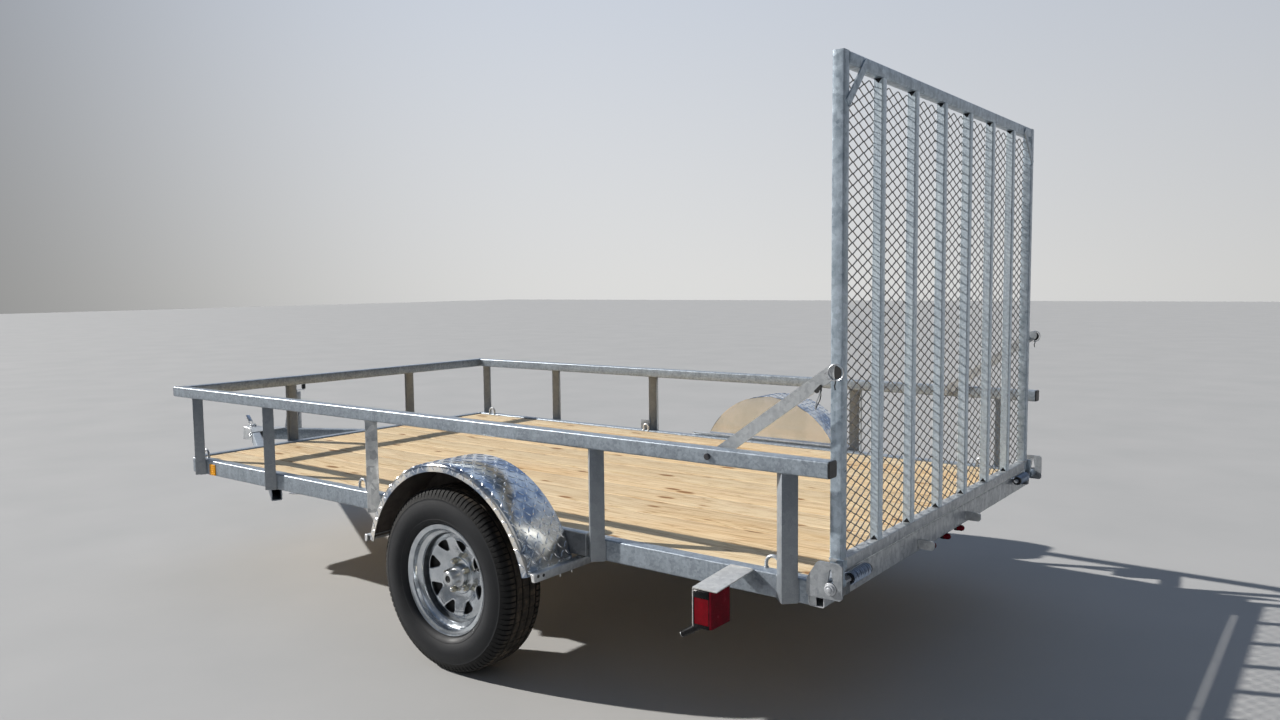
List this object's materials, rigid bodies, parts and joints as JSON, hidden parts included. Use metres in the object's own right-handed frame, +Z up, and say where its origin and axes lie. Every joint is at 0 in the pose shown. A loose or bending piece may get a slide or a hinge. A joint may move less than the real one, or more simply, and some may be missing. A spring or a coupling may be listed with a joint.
{
  "type": "single-axle utility trailer with ramp gate",
  "caption": "Open utility trailer: galvanised tube frame, plank deck, tube side rails, sprung rear ramp gate, tread-plate fenders, A-frame tongue with coupler and swivel jack.",
  "frame": {"origin": "on the ground, under the middle of the whole trailer's length and width", "axes": "+X forward to the coupler, +Y to the trailer's left, +Z up"},
  "size_m": [4.981, 2.59, 2.089],
  "materials": {
    "galvanised_steel": "spangled zinc, semi-gloss",
    "plated_steel": "zinc plated",
    "planks": "raw treated pine",
    "fender_plate": "tread plate",
    "tyre": "satin",
    "lamp": "gloss"
  },
  "bodies": {
    "trailer_frame": {"axle": "galvanised_steel", "coupler": "plated_steel", "cross_member_1": "galvanised_steel", "cross_member_2": "galvanised_steel", "cross_member_3": "galvanised_steel", "cross_member_4": "galvanised_steel", "cross_member_5": "galvanised_steel", "deck": "planks", "fender_left": "fender_plate", "fender_right": "fender_plate", "front_beam": "galvanised_steel", "front_post_left": "galvanised_steel", "front_post_right": "galvanised_steel", "gate_spring_left": "plated_steel", "gate_spring_right": "plated_steel", "hinge_plate_left": "galvanised_steel", "hinge_plate_right": "galvanised_steel", "id_light_bar": "lamp", "jack_bracket": "galvanised_steel", "lamp_bracket_left": "galvanised_steel", "lamp_bracket_right": "galvanised_steel", "post_left_1": "galvanised_steel", "post_left_2": "galvanised_steel", "post_left_3": "galvanised_steel", "post_left_4": "galvanised_steel", "post_left_5": "galvanised_steel", "post_right_1": "galvanised_steel", "post_right_2": "galvanised_steel", "post_right_3": "galvanised_steel", "post_right_4": "galvanised_steel", "post_right_5": "galvanised_steel", "rear_beam": "galvanised_steel", "side_rail_left": "galvanised_steel", "side_rail_right": "galvanised_steel", "spring_left": "galvanised_steel", "spring_right": "galvanised_steel", "tail_lamp_left": "lamp", "tail_lamp_right": "lamp", "tongue_left": "galvanised_steel", "tongue_right": "galvanised_steel", "top_rail_front": "galvanised_steel", "top_rail_left": "galvanised_steel", "top_rail_right": "galvanised_steel"},
    "wheel_left": {"tyre_left": "tyre", "rim_left": "galvanised_steel", "hub_left": "plated_steel"},
    "wheel_right": {"tyre_right": "tyre", "rim_right": "galvanised_steel", "hub_right": "plated_steel"},
    "gate": {"gate_frame": "galvanised_steel", "gate_mesh": "galvanised_steel"},
    "gate_arm_left": {"gate_arm_left": "galvanised_steel"},
    "gate_arm_right": {"gate_arm_right": "galvanised_steel"},
    "jack": {"jack_tube": "galvanised_steel", "jack_leg": "plated_steel", "jack_crank": "plated_steel"}
  },
  "joints": [
    {"name": "wheel_left_spin", "type": "hinge", "parent": "trailer_frame", "child": "wheel_left", "pos_m": [-1.0065, 1.183, 0.344], "axis": [0, 1, 0], "continuous": true},
    {"name": "wheel_right_spin", "type": "hinge", "parent": "trailer_frame", "child": "wheel_right", "pos_m": [-1.0065, -1.183, 0.344], "axis": [0, 1, 0], "continuous": true},
    {"name": "gate_hinge", "type": "hinge", "parent": "trailer_frame", "child": "gate", "pos_m": [-2.4535, 0, 0.53], "axis": [0, -1, 0], "range_deg": [0, 110]},
    {"name": "gate_arm_left_pivot", "type": "hinge", "parent": "trailer_frame", "child": "gate_arm_left", "pos_m": [-2.0495, 1.023, 0.8856], "axis": [0, 1, 0], "range_deg": [-35, 145]},
    {"name": "gate_arm_right_pivot", "type": "hinge", "parent": "trailer_frame", "child": "gate_arm_right", "pos_m": [-2.0495, -1.023, 0.8856], "axis": [0, 1, 0], "range_deg": [-35, 145]},
    {"name": "jack_swivel", "type": "hinge", "parent": "trailer_frame", "child": "jack", "pos_m": [2.1785, -0.203, 0.56], "axis": [-0.4695, 0.8829, 0], "range_deg": [0, 90]}
  ]
}
